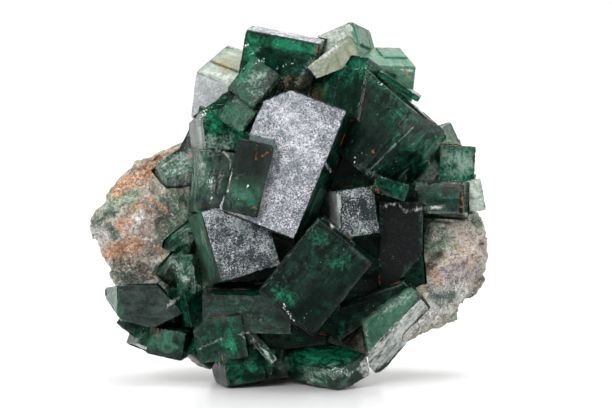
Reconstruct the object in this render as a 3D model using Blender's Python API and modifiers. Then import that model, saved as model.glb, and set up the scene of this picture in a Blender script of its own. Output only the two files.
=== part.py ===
# Green cubic crystal cluster on its rock matrix: flat-faced blocks of crystal that grew through
# one another, paler crystals at the rim, and the broken rock that they all stand on.
# Blender 4.5, metres, +Z up. Run with: blender --background --python part.py

import math

import bmesh
import bpy
from mathutils import Matrix, Vector, noise

# ---- driving dimensions, in millimetres and degrees ----
mm = 0.001                 # one millimetre in Blender units
sightTilt = 6.0            # the layout below is measured looking this much downwards
floorHeight = 3.0          # the level of the layout that everything is cut flat at
edgeChip = 0.22            # width of the small chamfer along every crystal edge
contactGap = 0.30          # clearance between one piece and the next
terraceRoot = 3.0          # how deep a growth step is rooted in its crystal
rockSeed = 5               # starts the noise that shapes the rock, so that it is always the same
rockVoxel = 2.85           # size of the grid that blends the rock's lumps
facetSize = 8.5            # how wide the rock's broken facets are
facetTilt = 4.0            # how far they lean in and out
facetVariety = 3.7         # how unlike its neighbours each one leans
rockRoughness = 1.6        # how far the rock's surface wanders in and out
rockGrain = 0.12           # how close together its bumps are, per millimetre
rockGrit = 0.45            # the same for its finer grit
rockGritDepth = 0.55       # and how far the grit moves the surface
flatShare = 0.93           # how nearly flat a broken face is pressed
weldDistance = 0.0010      # points closer than this are one point


# ---- scene and collections ----

def clearScene():
    for thing in list(bpy.data.objects):
        bpy.data.objects.remove(thing, do_unlink=True)


def newCollection(name):
    group = bpy.data.collections.new(name)
    bpy.context.scene.collection.children.link(group)
    return group


def newObject(name, mesh, group):
    thing = bpy.data.objects.new(name, mesh)
    group.objects.link(thing)
    return thing


# ---- the layout: right, up and out of the front view, in millimetres ----

def layoutToWorld():
    s = math.sin(math.radians(sightTilt))
    c = math.cos(math.radians(sightTilt))
    turned = Matrix(((1, 0, 0), (0, s, -c), (0, c, s))).to_4x4()
    return Matrix.Scale(mm, 4) @ turned


def orientation(lean, nod, turn):
    # turn about the block's own height, nod its top forward, then lean it over in the front view
    leaning = Matrix.Rotation(math.radians(lean), 4, "Z")
    nodding = Matrix.Rotation(math.radians(nod), 4, "X")
    turning = Matrix.Rotation(math.radians(turn), 4, "Y")
    return leaning @ nodding @ turning


# ---- crystals ----

def trimBlock(bm, trims, grow):
    # each trim is a plane: a point right and up, the way it faces, and its slope to the front
    for right, up, facing, slope in trims:
        angle = math.radians(facing)
        rise = math.radians(slope)
        flat = Vector((math.cos(angle), math.sin(angle), 0)) * math.cos(rise)
        normal = flat + Vector((0, 0, math.sin(rise)))
        geometry = bm.verts[:] + bm.edges[:] + bm.faces[:]
        cut = bmesh.ops.bisect_plane(bm, geom=geometry, plane_co=Vector((right, up, 0)) + normal * grow,
                                     plane_no=normal, clear_outer=True)
        rim = [part for part in cut["geom_cut"] if isinstance(part, bmesh.types.BMEdge)]
        if rim:
            bmesh.ops.contextual_create(bm, geom=rim)


def crystalMesh(name, spec, grow=0.0):
    # a block of the given width, height and depth, chamfered along its edges
    bm = bmesh.new()
    bmesh.ops.create_cube(bm, size=1.0)
    bmesh.ops.scale(bm, vec=[side + 2 * grow for side in spec["size"]], verts=bm.verts)
    bmesh.ops.transform(bm, matrix=orientation(*spec["angles"]), verts=bm.verts)
    bmesh.ops.translate(bm, vec=Vector(spec["centre"]), verts=bm.verts)
    trimBlock(bm, spec["trims"], grow)
    bmesh.ops.bevel(bm, geom=bm.edges[:], offset=edgeChip, segments=1, affect="EDGES",
                    profile=0.5)
    bmesh.ops.transform(bm, matrix=layoutToWorld(), verts=bm.verts)
    bmesh.ops.recalc_face_normals(bm, faces=bm.faces[:])
    mesh = bpy.data.meshes.new(name)
    bm.to_mesh(mesh)
    bm.free()
    return mesh


def crystal(name, centre, size, lean=0, nod=0, turn=0, trims=()):
    return {"name": name, "centre": centre, "size": size, "angles": (lean, nod, turn),
            "trims": trims}


def terrace(block, side, shares, shifts, rise):
    # a low growth step on one side of a block: shares of that side's two lengths, slid by
    # shifts of them, standing proud by rise
    axis = "xyz".index(side[1])
    sign = 1 if side[0] == "+" else -1
    others = [number for number in range(3) if number != axis]
    size = [0.0, 0.0, 0.0]
    offset = Vector((0, 0, 0))
    size[axis] = terraceRoot + rise
    offset[axis] = sign * (block["size"][axis] / 2 + rise - size[axis] / 2)
    for other, share, shift in zip(others, shares, shifts):
        size[other] = block["size"][other] * share
        offset[other] = block["size"][other] * shift
    turned = orientation(*block["angles"]) @ offset
    centre = Vector(block["centre"]) + turned
    return crystal(block["name"] + "_step" + side, centre, size, *block["angles"])


def topCrystals():
    topLeft = crystal("top_left", (-2.2, 71.3, 0), (17, 18.4, 17.3), lean=-11, nod=5, turn=-4)
    great = crystal("great_cube", (20.4, 58.2, 9), (18.2, 18.2, 18.2), lean=-40, nod=3, turn=-34)
    upper = crystal("upper_right", (14, 65.7, 5.5), (13.6, 15.2, 13.5), lean=-10, nod=-16.3,
                    turn=-30.4)
    return [
        topLeft,
        crystal("gable", (-7.1, 68.1, 14.0), (7.7, 9.6, 10), lean=-39, nod=-6, turn=-15),
        crystal("gable_foot", (-10, 62.3, 12.6), (7, 9.5, 10), lean=-36, nod=-6, turn=-12),
        crystal("left_shelf", (-13.7, 57.5, 8.3), (13.9, 9.6, 15.4), lean=7, nod=-9, turn=13),
        crystal("left_roof", (-14.2, 61.8, 3), (12.5, 8, 12), lean=34),
        great,
        upper,
        crystal("thin_plate", (24.9, 68.6, 8), (11, 1.4, 9), lean=-33, nod=5),
        terrace(topLeft, "+x", (0.5, 0.6), (-0.2, -0.1), 0.5),
        terrace(great, "+y", (0.5, 0.5), (0.2, -0.2), 0.5),
        terrace(upper, "+y", (0.45, 0.6), (-0.2, 0.1), 0.4),
    ]


def frontCrystals():
    silver = crystal("silver", (0.3, 50.5, 13), (18.9, 31.2, 18), lean=-22.5, nod=-4, turn=-13,
                     trims=((-3, 68, 112, 5),))
    centre = crystal("centre_front", (6.4, 26.4, 17.6), (16, 21.5, 16.9), lean=-39, nod=5)
    ledge = crystal("under_ledge", (-8.7, 19, 13), (20, 9, 14), nod=12, turn=-5)
    return [
        crystal("veiled", (-17.2, 47, 12.5), (8, 14, 13), lean=-4, turn=8),
        crystal("front_post", (-8.9, 48.7, 21.8), (8.2, 16.9, 9), lean=-14, nod=11, turn=3),
        silver,
        centre,
        crystal("centre_right", (13.6, 40.5, 11), (9, 11, 14), lean=8, nod=4, turn=16),
        crystal("black_wall", (25.1, 33, 4), (10, 19.4, 18), trims=((27.8, 28.4, -40, 0),)),
        crystal("left_silver", (-12.2, 33.9, 13.2), (14.5, 16.5, 14), lean=16, turn=14),
        ledge,
        terrace(silver, "+x", (0.4, 0.5), (-0.25, 0.1), 0.5),
        terrace(centre, "+y", (0.6, 0.5), (-0.15, 0.1), 0.5),
        terrace(ledge, "+y", (0.5, 0.6), (-0.2, -0.1), 0.4),
    ]


def rightCrystals():
    clear = crystal("right_clear", (37.3, 50.9, 1), (8.3, 8.7, 8), lean=-3, turn=8)
    return [
        crystal("cube_foot", (22.8, 45.6, 13), (8, 4, 9), lean=-18),
        clear,
        crystal("right_dark", (34.3, 43.1, 6), (11.5, 7.8, 9), lean=-2, nod=-6, turn=-10),
        crystal("right_link", (31, 48.5, 0), (8, 8, 9), lean=-50, turn=-12),
        terrace(clear, "+y", (0.55, 0.6), (-0.15, 0.1), 0.4),
    ]


def leftCrystals():
    lowLeft = crystal("low_left", (-32, 19, 9.4), (16, 9.6, 10), lean=2, nod=-3, turn=17,
                      trims=((-40.4, 20, 217, 0), (-26, 20.5, 43, 0), (-26.8, 15.9, -65, 0),
                             (-33.5, 15, 255, 0)))
    return [
        lowLeft,
        crystal("step_outer", (-33.6, 15.4, 4), (6.6, 5.6, 8), lean=-35, nod=6, turn=-16),
        crystal("step_middle", (-30.7, 11.9, 6), (8, 5.5, 9), lean=-20, nod=-7, turn=18),
        crystal("step_inner", (-26.2, 11.5, 8), (8.5, 6.5, 9), lean=-10, nod=11, turn=-14),
        crystal("cheek_top", (-25, 48, 4), (7, 9, 10), lean=35, nod=-9, turn=16,
                trims=((-23.5, 44.5, -70, 25),)),
        crystal("cheek_middle", (-24.4, 36.7, 6), (5.5, 10, 8), lean=-20, nod=6, turn=20,
                trims=((-24.5, 39.5, 125, 20),)),
        crystal("cheek_low", (-24.9, 27.2, 8), (6, 6.5, 8), lean=-35, nod=-12, turn=15),
        crystal("cheek_inner", (-21.7, 26.4, 9), (4.5, 9, 9), lean=5, turn=-18),
        crystal("cheek_foot", (-22.2, 19.4, 9), (5, 9, 9), lean=12, nod=7, turn=24),
        terrace(lowLeft, "+y", (0.5, 0.5), (-0.1, 0.1), 0.4),
    ]


def lowCrystals():
    return [
        crystal("under_round", (-14.2, 13.1, 13), (11.5, 10, 12), lean=10, nod=10, turn=-12,
                trims=((-20.5, 19.3, 135, 10), (-5.5, 4.5, -50, 15))),
        crystal("under_corner", (-19.5, 9.5, 10), (6, 6, 9), lean=-35, nod=-8, turn=20),
        crystal("left_foot", (-11.4, 5.9, 12), (9, 9.5, 11), lean=12, nod=-6, turn=17),
        crystal("middle_foot", (-5.5, 7, 10), (9, 7, 10), lean=-8, nod=4, turn=-22),
        crystal("wedge", (-6, 10.6, 16.5), (10, 2.2, 4.5), lean=-48, nod=6, turn=-8),
        crystal("front_foot", (8.6, 6.0, 14.1), (16.7, 5.5, 10.1), lean=11, nod=26, turn=-51),
        crystal("dark_band", (16.75, 20.6, 10.5), (20.7, 9.4, 10), lean=36, nod=-5, turn=-4,
                trims=((19.4, 24, 111, 5),)),
        crystal("slanted_band", (23.6, 13.8, 12.7), (18.5, 12, 7.6), lean=36, nod=3, turn=-5,
                trims=((33, 9.5, -43, 33), (17, 11.7, 189, 0))),
        crystal("under_centre", (3, 19.6, 12), (16, 11, 12), lean=-13, nod=-6, turn=5),
    ]


def heartCrystals():
    # the massive crystal that the blocks grow out of
    return [
        crystal("heart", (4, 40, 1), (44, 46, 18), lean=-4),
        crystal("heart_low", (-6, 17, 4), (28, 16, 14), lean=6),
        crystal("heart_right", (20, 31, 1), (20, 30, 14), lean=6),
    ]


def backCrystals():
    return [
        crystal("back_top", (7, 66, -12), (16, 13, 13), lean=20, nod=-8, turn=25),
        crystal("back_left", (-16, 54, -10), (13, 14, 12), lean=-28, turn=-20),
        crystal("back_right", (26, 52, -10), (13, 15, 12), lean=12, turn=28),
        crystal("back_middle", (-5, 31, -13), (14, 13, 24), lean=33, nod=14, turn=22),
    ]


def darkCrystals():
    return (heartCrystals() + topCrystals() + frontCrystals() + rightCrystals()
            + leftCrystals() + lowCrystals() + backCrystals())


def paleLeftCrystals():
    shoulder = crystal("pale_shoulder", (-12.4, 67.7, -10), (13, 12.5, 15), lean=-7, nod=33,
                       turn=-25)
    return [
        shoulder,
        crystal("pale_edge", (-21.6, 58.3, -4), (5.4, 9.6, 7), lean=-14),
        terrace(shoulder, "+y", (0.6, 0.5), (-0.15, -0.15), 0.5),
    ]


def paleTopCrystals():
    peak = crystal("peak", (12.9, 75.8, -8), (10.8, 10.1, 10), lean=15, nod=-19, turn=-22)
    milky = crystal("milky_top", (21.1, 71.2, -5.2), (11.5, 8.9, 14.2), lean=-6, nod=17, turn=15)
    return [
        peak,
        crystal("arch", (10.0, 73.8, 3.0), (12, 5.6, 15.2), lean=38, turn=6,
                trims=((7.0, 70.3, -69, 0),)),
        milky,
        terrace(peak, "+x", (0.5, 0.6), (0.2, 0.1), 0.4),
        terrace(milky, "+y", (0.5, 0.5), (0.2, -0.15), 0.4),
    ]


def paleRightCrystals():
    return [
        crystal("corner", (34.7, 56.6, -6), (5, 6, 5), lean=25, nod=8, turn=-50),
        crystal("corner_root", (35, 51, -8), (8, 10, 7), lean=12, turn=-20),
        crystal("rim_root", (38.5, 44.5, -4), (6, 10, 8), lean=-12),
        crystal("rim", (41.4, 43.9, 2), (4.8, 7.3, 6), lean=10),
    ]


# ---- rock ----

def rockLumps():
    # centre and radii of the round masses that the rock is blended from, and their lean
    return [
        ((1, 40, -12), (33, 26, 14), 0),
        ((4, 59, -13), (20, 13, 11), 0),
        ((-30, 37.5, -4), (14.6, 17.5, 12), 0),
        ((-36, 27, -4), (7, 6, 8), 20),
        ((35, 29, -4), (10.6, 16, 12), 0),
        ((27, 16, 3), (14, 7, 10), 32),
        ((0, 12, -9), (19, 14, 15), 0),
        ((-24, 20, -3), (14, 10, 10), -25),
        ((20, 22, -8), (14, 12, 12), 0),
        ((20.5, 9.5, 6), (5, 6.5, 6), 0),
    ]


def rockBreaks():
    # flat broken faces: a point right, up and out, and the way each looks
    return [
        ((-35.4, 50.8, 0), (-0.30, 0.95, 0.10)),
        ((-38.2, 45.8, 0), (-0.75, 0.66, 0.05)),
        ((-43.5, 33, 0), (-0.97, -0.12, 0.2)),
        ((-40.5, 26, 0), (-0.86, -0.5, 0)),
        ((43.6, 31, 0), (0.97, 0.1, 0.2)),
        ((40.4, 22, 0), (0.82, -0.57, 0.08)),
        ((38, 14.6, 0), (0.3, -0.95, 0)),
        ((29, 12.6, 0), (0.5, -0.86, -0.05)),
        ((0, 40, -24), (0.05, 0.1, -0.99)),
        ((24, 44, -20), (0.5, 0.2, -0.84)),
        ((-22, 50, -19), (-0.42, 0.35, -0.84)),
        ((10, 20, -21), (0.2, -0.4, -0.9)),
        ((-26, 26, -14), (-0.5, -0.45, -0.74)),
        ((5, 67, -16), (0.1, 0.8, -0.6)),
    ]


def pressFlat(bm, place, facing):
    # pushes whatever stands beyond a plane back onto it
    normal = Vector(facing).normalized()
    for vert in bm.verts:
        beyond = (vert.co - Vector(place)).dot(normal)
        if beyond > 0:
            vert.co -= normal * beyond * flatShare


def roughBall(bm, centre, radii, lean):
    # one lump of the rock: a leaning ellipsoid with an uneven surface
    ball = bmesh.ops.create_icosphere(bm, subdivisions=5, radius=1.0)["verts"]
    bmesh.ops.scale(bm, vec=radii, verts=ball)
    bmesh.ops.rotate(bm, cent=(0, 0, 0), verts=ball,
                     matrix=Matrix.Rotation(math.radians(lean), 3, "Z"))
    for vert in ball:
        outward = vert.co.normalized()
        place = vert.co + Vector(centre)
        swell = noise.fractal(place * rockGrain, 0.8, 2.1, 4) * rockRoughness
        vert.co = place + outward * swell


def brokenFacet(place):
    # every cell of the rock is broken along a plane of its own
    centre = noise.voronoi(place / facetSize)[1][0]
    lean = noise.noise_vector(centre * facetVariety)
    return (place / facetSize - centre).dot(lean) * facetTilt


def rockMesh():
    bm = bmesh.new()
    for centre, radii, lean in rockLumps():
        roughBall(bm, centre, radii, lean)
    for place, facing in rockBreaks():
        pressFlat(bm, place, facing)
    mesh = bpy.data.meshes.new("rock_lumps")
    bm.to_mesh(mesh)
    bm.free()
    return mesh


def blendedRock(group):
    # the lumps run together in one skin, which facets and grit then make uneven
    rock = newObject("matrix", rockMesh(), group)
    blend = rock.modifiers.new("run the lumps together", "REMESH")
    blend.mode = "VOXEL"
    blend.voxel_size = rockVoxel
    settle(rock)
    outward = [vert.normal.copy() for vert in rock.data.vertices]
    for vert, normal in zip(rock.data.vertices, outward):
        grit = noise.noise_vector(vert.co * rockGrit) * rockGritDepth
        vert.co += normal * brokenFacet(vert.co) + grit
    rock.data.transform(layoutToWorld())
    return rock


# ---- joining and cutting ----

def placeBlocks(specs, group, grow=0.0, prefix=""):
    blocks = []
    for spec in specs:
        name = prefix + spec["name"]
        block = newObject(name, crystalMesh(name, spec, grow), group)
        block.hide_render = True
        block.display_type = "WIRE"
        blocks.append(block)
    return blocks


def addBoolean(thing, name, operation, group):
    step = thing.modifiers.new(name, "BOOLEAN")
    step.operation = operation
    step.solver = "EXACT"
    step.operand_type = "COLLECTION"
    step.collection = group


def floorSlab(group):
    # everything below the floor level is cut away by this slab
    bm = bmesh.new()
    bmesh.ops.create_cube(bm, size=200 * mm)
    bmesh.ops.translate(bm, vec=(0, 0, (floorHeight - 100) * mm), verts=bm.verts)
    mesh = bpy.data.meshes.new("floor_slab")
    bm.to_mesh(mesh)
    bm.free()
    slab = newObject("floor_slab", mesh, group)
    slab.hide_render = True
    slab.display_type = "WIRE"


def islands(bm):
    # the groups of vertices that hang together
    left = set(bm.verts)
    found = []
    while left:
        seed = left.pop()
        island = {seed}
        front = [seed]
        while front:
            vert = front.pop()
            for edge in vert.link_edges:
                other = edge.other_vert(vert)
                if other in left:
                    left.discard(other)
                    island.add(other)
                    front.append(other)
        found.append(island)
    return found


def settle(thing):
    # fixes the modifiers' result as the object's own mesh and drops loose crumbs
    graph = bpy.context.evaluated_depsgraph_get()
    mesh = bpy.data.meshes.new_from_object(thing.evaluated_get(graph))
    thing.modifiers.clear()
    bm = bmesh.new()
    bm.from_mesh(mesh)
    bmesh.ops.remove_doubles(bm, verts=bm.verts, dist=weldDistance * mm)
    crumbs = sorted(islands(bm), key=len)[:-1]
    for crumb in crumbs:
        bmesh.ops.delete(bm, geom=list(crumb), context="VERTS")
    bm.to_mesh(mesh)
    bm.free()
    mesh.name = thing.name
    thing.data = mesh


def growTogether(name, specs, group, cutters):
    # all the blocks of one cluster joined in one solid
    blocks = newCollection(name + "_blocks")
    placed = placeBlocks(specs, blocks)
    first = placed[0]
    blocks.objects.unlink(first)
    cluster = newObject(name, first.data.copy(), group)
    bpy.data.objects.remove(first, do_unlink=True)
    addBoolean(cluster, "join blocks", "UNION", blocks)
    for cutter in cutters:
        addBoolean(cluster, "cut by " + cutter.name, "DIFFERENCE", cutter)
    settle(cluster)
    return cluster


def buildRock(group, rooms):
    # the rock with room cut in it, in one step, for everything that stands on it
    everything = newCollection("room_in_rock")
    for room in rooms:
        for block in room.objects:
            everything.objects.link(block)
    rock = blendedRock(group)
    addBoolean(rock, "make room", "DIFFERENCE", everything)
    settle(rock)
    return rock


# ---- materials ----

def principled(name, colour, roughness, transmission=0.0, refraction=1.45):
    material = bpy.data.materials.new(name)
    material.use_nodes = True
    shader = material.node_tree.nodes["Principled BSDF"]
    shader.inputs["Base Color"].default_value = (*colour, 1)
    shader.inputs["Roughness"].default_value = roughness
    shader.inputs["Metallic"].default_value = 0.0
    shader.inputs["Transmission Weight"].default_value = transmission
    shader.inputs["IOR"].default_value = refraction
    material.diffuse_color = (*colour, 1)
    return material


def deepGreenCrystal():
    return principled("deep_green_crystal", (0.02, 0.16, 0.09), 0.12, 0.8, 1.434)


def paleGreenCrystal():
    return principled("pale_green_crystal", (0.45, 0.62, 0.50), 0.25, 0.7, 1.434)


def rustyRock():
    return principled("rusty_rock", (0.46, 0.38, 0.32), 0.9)


# ---- the object ----

def standOnFloor(group, things):
    # one empty carries all the pieces, so that the origin is under the middle of the whole,
    # at the level of the flat foot
    low = Vector((1e9, 1e9, 1e9))
    high = -low
    for thing in things:
        for vert in thing.data.vertices:
            low = Vector(map(min, low, vert.co))
            high = Vector(map(max, high, vert.co))
    carrier = newObject("specimen", None, group)
    carrier.location = (-(low.x + high.x) / 2, -(low.y + high.y) / 2, -low.z)
    for thing in things:
        thing.parent = carrier


def buildSpecimen():
    clearScene()
    noise.seed_set(rockSeed)
    specimen = newCollection("green_crystal_specimen")
    floor = newCollection("floor_cutter")
    floorSlab(floor)

    dark = growTogether("green_crystals", darkCrystals(), specimen, [floor])
    darkRoom = newCollection("room_for_green")
    placeBlocks(darkCrystals(), darkRoom, contactGap, "room_")

    paleSets = {"pale_crystals_left": paleLeftCrystals(), "pale_crystals_top": paleTopCrystals(),
                "pale_crystals_right": paleRightCrystals()}
    paleRoom = newCollection("room_for_pale")
    pales = []
    for name, specs in paleSets.items():
        pales.append(growTogether(name, specs, specimen, [darkRoom, floor]))
        placeBlocks(specs, paleRoom, contactGap, "room_")

    rock = buildRock(specimen, [darkRoom, paleRoom, floor])

    dark.data.materials.append(deepGreenCrystal())
    palest = paleGreenCrystal()
    for pale in pales:
        pale.data.materials.append(palest)
    rock.data.materials.append(rustyRock())
    standOnFloor(specimen, [dark, rock, *pales])


buildSpecimen()
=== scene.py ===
import math
import random
from functools import partial

import bmesh
import bpy
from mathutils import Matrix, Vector, noise
from mathutils.bvhtree import BVHTree
from mathutils.kdtree import KDTree


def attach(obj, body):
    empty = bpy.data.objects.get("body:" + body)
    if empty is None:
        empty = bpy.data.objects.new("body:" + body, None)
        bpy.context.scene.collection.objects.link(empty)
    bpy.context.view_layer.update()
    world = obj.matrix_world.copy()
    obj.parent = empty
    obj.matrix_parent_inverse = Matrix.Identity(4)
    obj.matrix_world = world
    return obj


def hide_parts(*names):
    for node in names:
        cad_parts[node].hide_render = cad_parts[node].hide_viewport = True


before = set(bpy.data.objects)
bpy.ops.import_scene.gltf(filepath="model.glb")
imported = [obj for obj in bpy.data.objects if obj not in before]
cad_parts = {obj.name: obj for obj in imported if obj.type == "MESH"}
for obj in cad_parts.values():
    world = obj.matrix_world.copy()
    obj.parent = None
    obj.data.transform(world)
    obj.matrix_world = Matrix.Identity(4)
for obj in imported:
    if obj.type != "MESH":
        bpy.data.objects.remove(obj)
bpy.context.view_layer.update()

mm = 0.001
noise.seed_set(4)    # the same relief every time
print("frame loaded:", ", ".join(sorted(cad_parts)))

view = {
    "tilt": 6.0,                        # degrees that the camera looks down
    "zero": (-0.1283, -3.4886, -3.0),   # the front view's zero in the frame, mm
    "middle": (3.94, 42.07),            # right and up of the view's middle, mm
    "width": 137.7,                     # what the view spans at the crystals, mm
    "lens": 500.0,                      # a long lens, so that hardly anything tapers
    "sensor": 36.0,
}


def spot(right, up, out=0.0):
    # a place in the front view, in mm, as a point of the frame in metres
    s = math.sin(math.radians(view["tilt"]))
    c = math.cos(math.radians(view["tilt"]))
    place = Vector((right, up * s - out * c, up * c + out * s))
    return (place + Vector(view["zero"])) * mm


def away():
    # the direction that the camera looks in
    return (spot(0, 0, -1) - spot(0, 0, 0)).normalized()


def frontPlace(point):
    # a point of the frame, in metres, back as right, up and out in mm
    s = math.sin(math.radians(view["tilt"]))
    c = math.cos(math.radians(view["tilt"]))
    place = point / mm - Vector(view["zero"])
    return Vector((place.x, place.y * s + place.z * c, place.z * s - place.y * c))


def makeCamera():
    lens = bpy.data.cameras.new("camera")
    lens.lens = view["lens"]
    lens.sensor_width = view["sensor"]
    lens.clip_start = 0.05
    lens.clip_end = 50.0
    camera = bpy.data.objects.new("camera", lens)
    bpy.context.scene.collection.objects.link(camera)
    distance = view["lens"] / view["sensor"] * view["width"]
    camera.location = spot(*view["middle"], distance)
    camera.rotation_euler = (math.radians(90 - view["tilt"]), 0, 0)
    bpy.context.scene.camera = camera


lights = {
    # place in metres, size in metres, watts, colour
    "keySoftbox": ((-0.62, -1.15, 0.95), 0.9, 19.0, (1.0, 0.99, 0.97)),
    "topSoftbox": ((0.1, 0.25, 1.2), 0.8, 11.0, (1.0, 1.0, 1.0)),
    "rightSoftbox": ((1.1, -0.75, 0.75), 0.6, 3.0, (0.97, 0.99, 1.0)),
}


lightsAim = (0, 0, 0.04)    # metres


def makeLights():
    for name, (place, size, watts, colour) in lights.items():
        data = bpy.data.lights.new(name, "AREA")
        data.size = size
        data.energy = watts
        data.color = colour
        lamp = bpy.data.objects.new(name, data)
        bpy.context.scene.collection.objects.link(lamp)
        lamp.location = place
        lamp.rotation_euler = (Vector(lightsAim) - Vector(place)).to_track_quat("-Z", "Y").to_euler()


studio = {
    "sky": 1.0,          # brightness of the white behind
    "above": 0.9,        # overhead
    "dimFront": 0.16,    # and of the room on the camera's side
    "turns": (-0.25, 0.55),    # where one gives way to the other, along the view
    "rises": (0.5, 0.95),      # and where the light overhead begins, upwards
    "shown": 1.0,        # the white that the camera sees
}

floorLook = {
    "radius": 3.0,       # metres
    "drop": 0.0002,      # how far it lies under the part, metres
    "colour": (0.93, 0.93, 0.94, 1),
    "roughness": 0.18,
    "shine": 0.35,
}


def makeSky():
    world = bpy.data.worlds.new("studio")
    bpy.context.scene.world = world
    world.use_nodes = True
    tree = world.node_tree
    tree.nodes.clear()
    direction = addNode(tree, "TexCoord").outputs["Generated"]
    parts = addNode(tree, "SeparateXYZ", {"Vector": direction})
    (backFrom, backTo), (upFrom, upTo) = studio["turns"], studio["rises"]
    behind = addNode(tree, "MapRange", {"Value": parts.outputs["Y"],
                                        "From Min": backFrom, "From Max": backTo,
                                        "To Min": studio["dimFront"], "To Max": studio["sky"]})
    above = addNode(tree, "MapRange", {"Value": parts.outputs["Z"],
                                       "From Min": upFrom, "From Max": upTo,
                                       "To Min": 0.0, "To Max": studio["above"]})
    bright = addNode(tree, "Math", {0: behind.outputs[0], 1: above.outputs[0]}, operation="MAXIMUM")
    light = addNode(tree, "Background", {"Strength": bright.outputs[0]})
    shown = addNode(tree, "Background", {"Strength": studio["shown"]})
    for background in (light, shown):
        background.inputs["Color"].default_value = (1, 1, 1, 1)
    path = addNode(tree, "LightPath")
    mixed = addNode(tree, "MixShader", {0: path.outputs["Is Camera Ray"], 1: light.outputs[0],
                                        2: shown.outputs[0]})
    addNode(tree, "OutputWorld", {"Surface": mixed.outputs[0]})


def makeFloor():
    bm = bmesh.new()
    bmesh.ops.create_circle(bm, cap_ends=True, segments=64, radius=floorLook["radius"])
    bmesh.ops.translate(bm, verts=bm.verts, vec=(0, 0, -floorLook["drop"]))
    mesh = bpy.data.meshes.new("floor")
    bm.to_mesh(mesh)
    bm.free()
    floor = bpy.data.objects.new("floor", mesh)
    bpy.context.scene.collection.objects.link(floor)
    material, shader = newMaterial("whiteFloor")[::2]
    shader.inputs["Base Color"].default_value = floorLook["colour"]
    shader.inputs["Roughness"].default_value = floorLook["roughness"]
    shader.inputs["Specular IOR Level"].default_value = floorLook["shine"]
    mesh.materials.append(material)


class nodeValue:
    # a number that a node gives out, so that + - and * make the nodes that work with it
    def __init__(self, socket):
        self.socket = socket
        self.tree = socket.id_data

    def __add__(self, other):
        return calculate(self.tree, "ADD", self, other)

    def __sub__(self, other):
        return calculate(self.tree, "SUBTRACT", self, other)

    def __rsub__(self, other):
        return calculate(self.tree, "SUBTRACT", other, self)

    def __mul__(self, other):
        return calculate(self.tree, "MULTIPLY", self, other)


def plug(value, socket):
    # links a node's output to a socket, or sets the socket to a plain value
    if isinstance(value, nodeValue):
        value = value.socket
    if isinstance(value, bpy.types.NodeSocket):
        socket.id_data.links.new(value, socket)
    else:
        socket.default_value = value


def addNode(tree, kind, sockets=None, **settings):
    made = tree.nodes.new("ShaderNode" + kind)
    for name, value in settings.items():
        setattr(made, name, value)
    for name, value in (sockets or {}).items():
        plug(value, made.inputs[name])
    return made


def newMaterial(name):
    material = bpy.data.materials.new(name)
    material.use_nodes = True
    tree = material.node_tree
    return material, tree, tree.nodes["Principled BSDF"]


def blendColours(tree, factor, first, second):
    made = addNode(tree, "Mix", {0: factor}, data_type="RGBA")
    for index, colour in ((6, first), (7, second)):
        plug((*colour, 1) if isinstance(colour, tuple) else colour, made.inputs[index])
    return made.outputs[2]


def calculate(tree, operation, first, second, clamp=False):
    made = addNode(tree, "Math", {0: first, 1: second}, operation=operation, use_clamp=clamp)
    return nodeValue(made.outputs[0])


def highest(first, second):
    return calculate(first.tree, "MAXIMUM", first, second)


def colourRamp(tree, value, stops):
    made = addNode(tree, "ValToRGB", {"Fac": value})
    points = made.color_ramp.elements
    while len(points) < len(stops):
        points.new(0.5)
    for point, (position, colour) in zip(points, stops):
        point.position = position
        point.color = (*colour, 1)
    return made.outputs[0]


def between(value, low, high, toLow=0.0, toHigh=1.0):
    # toLow at low and before it, toHigh at high and past it, smooth in between
    made = addNode(value.tree, "MapRange", {"Value": value, "From Min": low, "From Max": high,
                                            "To Min": toLow, "To Max": toHigh},
                   interpolation_type="SMOOTHSTEP")
    return nodeValue(made.outputs[0])


def mottle(tree, vector, size, detail=3.0, roughness=0.6, distortion=0.0):
    # noise whose lumps are about size mm across, on coordinates in mm
    made = addNode(tree, "TexNoise", {"Vector": vector, "Scale": 1.0 / size, "Detail": detail,
                                      "Roughness": roughness, "Distortion": distortion})
    return nodeValue(made.outputs[0])


def inMillimetres(tree):
    place = addNode(tree, "TexCoord").outputs["Object"]
    return addNode(tree, "VectorMath", {0: place, 1: (1000, 1000, 1000)}, operation="MULTIPLY").outputs[0]


def mark(tree, name):
    return nodeValue(addNode(tree, "Attribute", attribute_name=name).outputs["Fac"])


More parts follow.
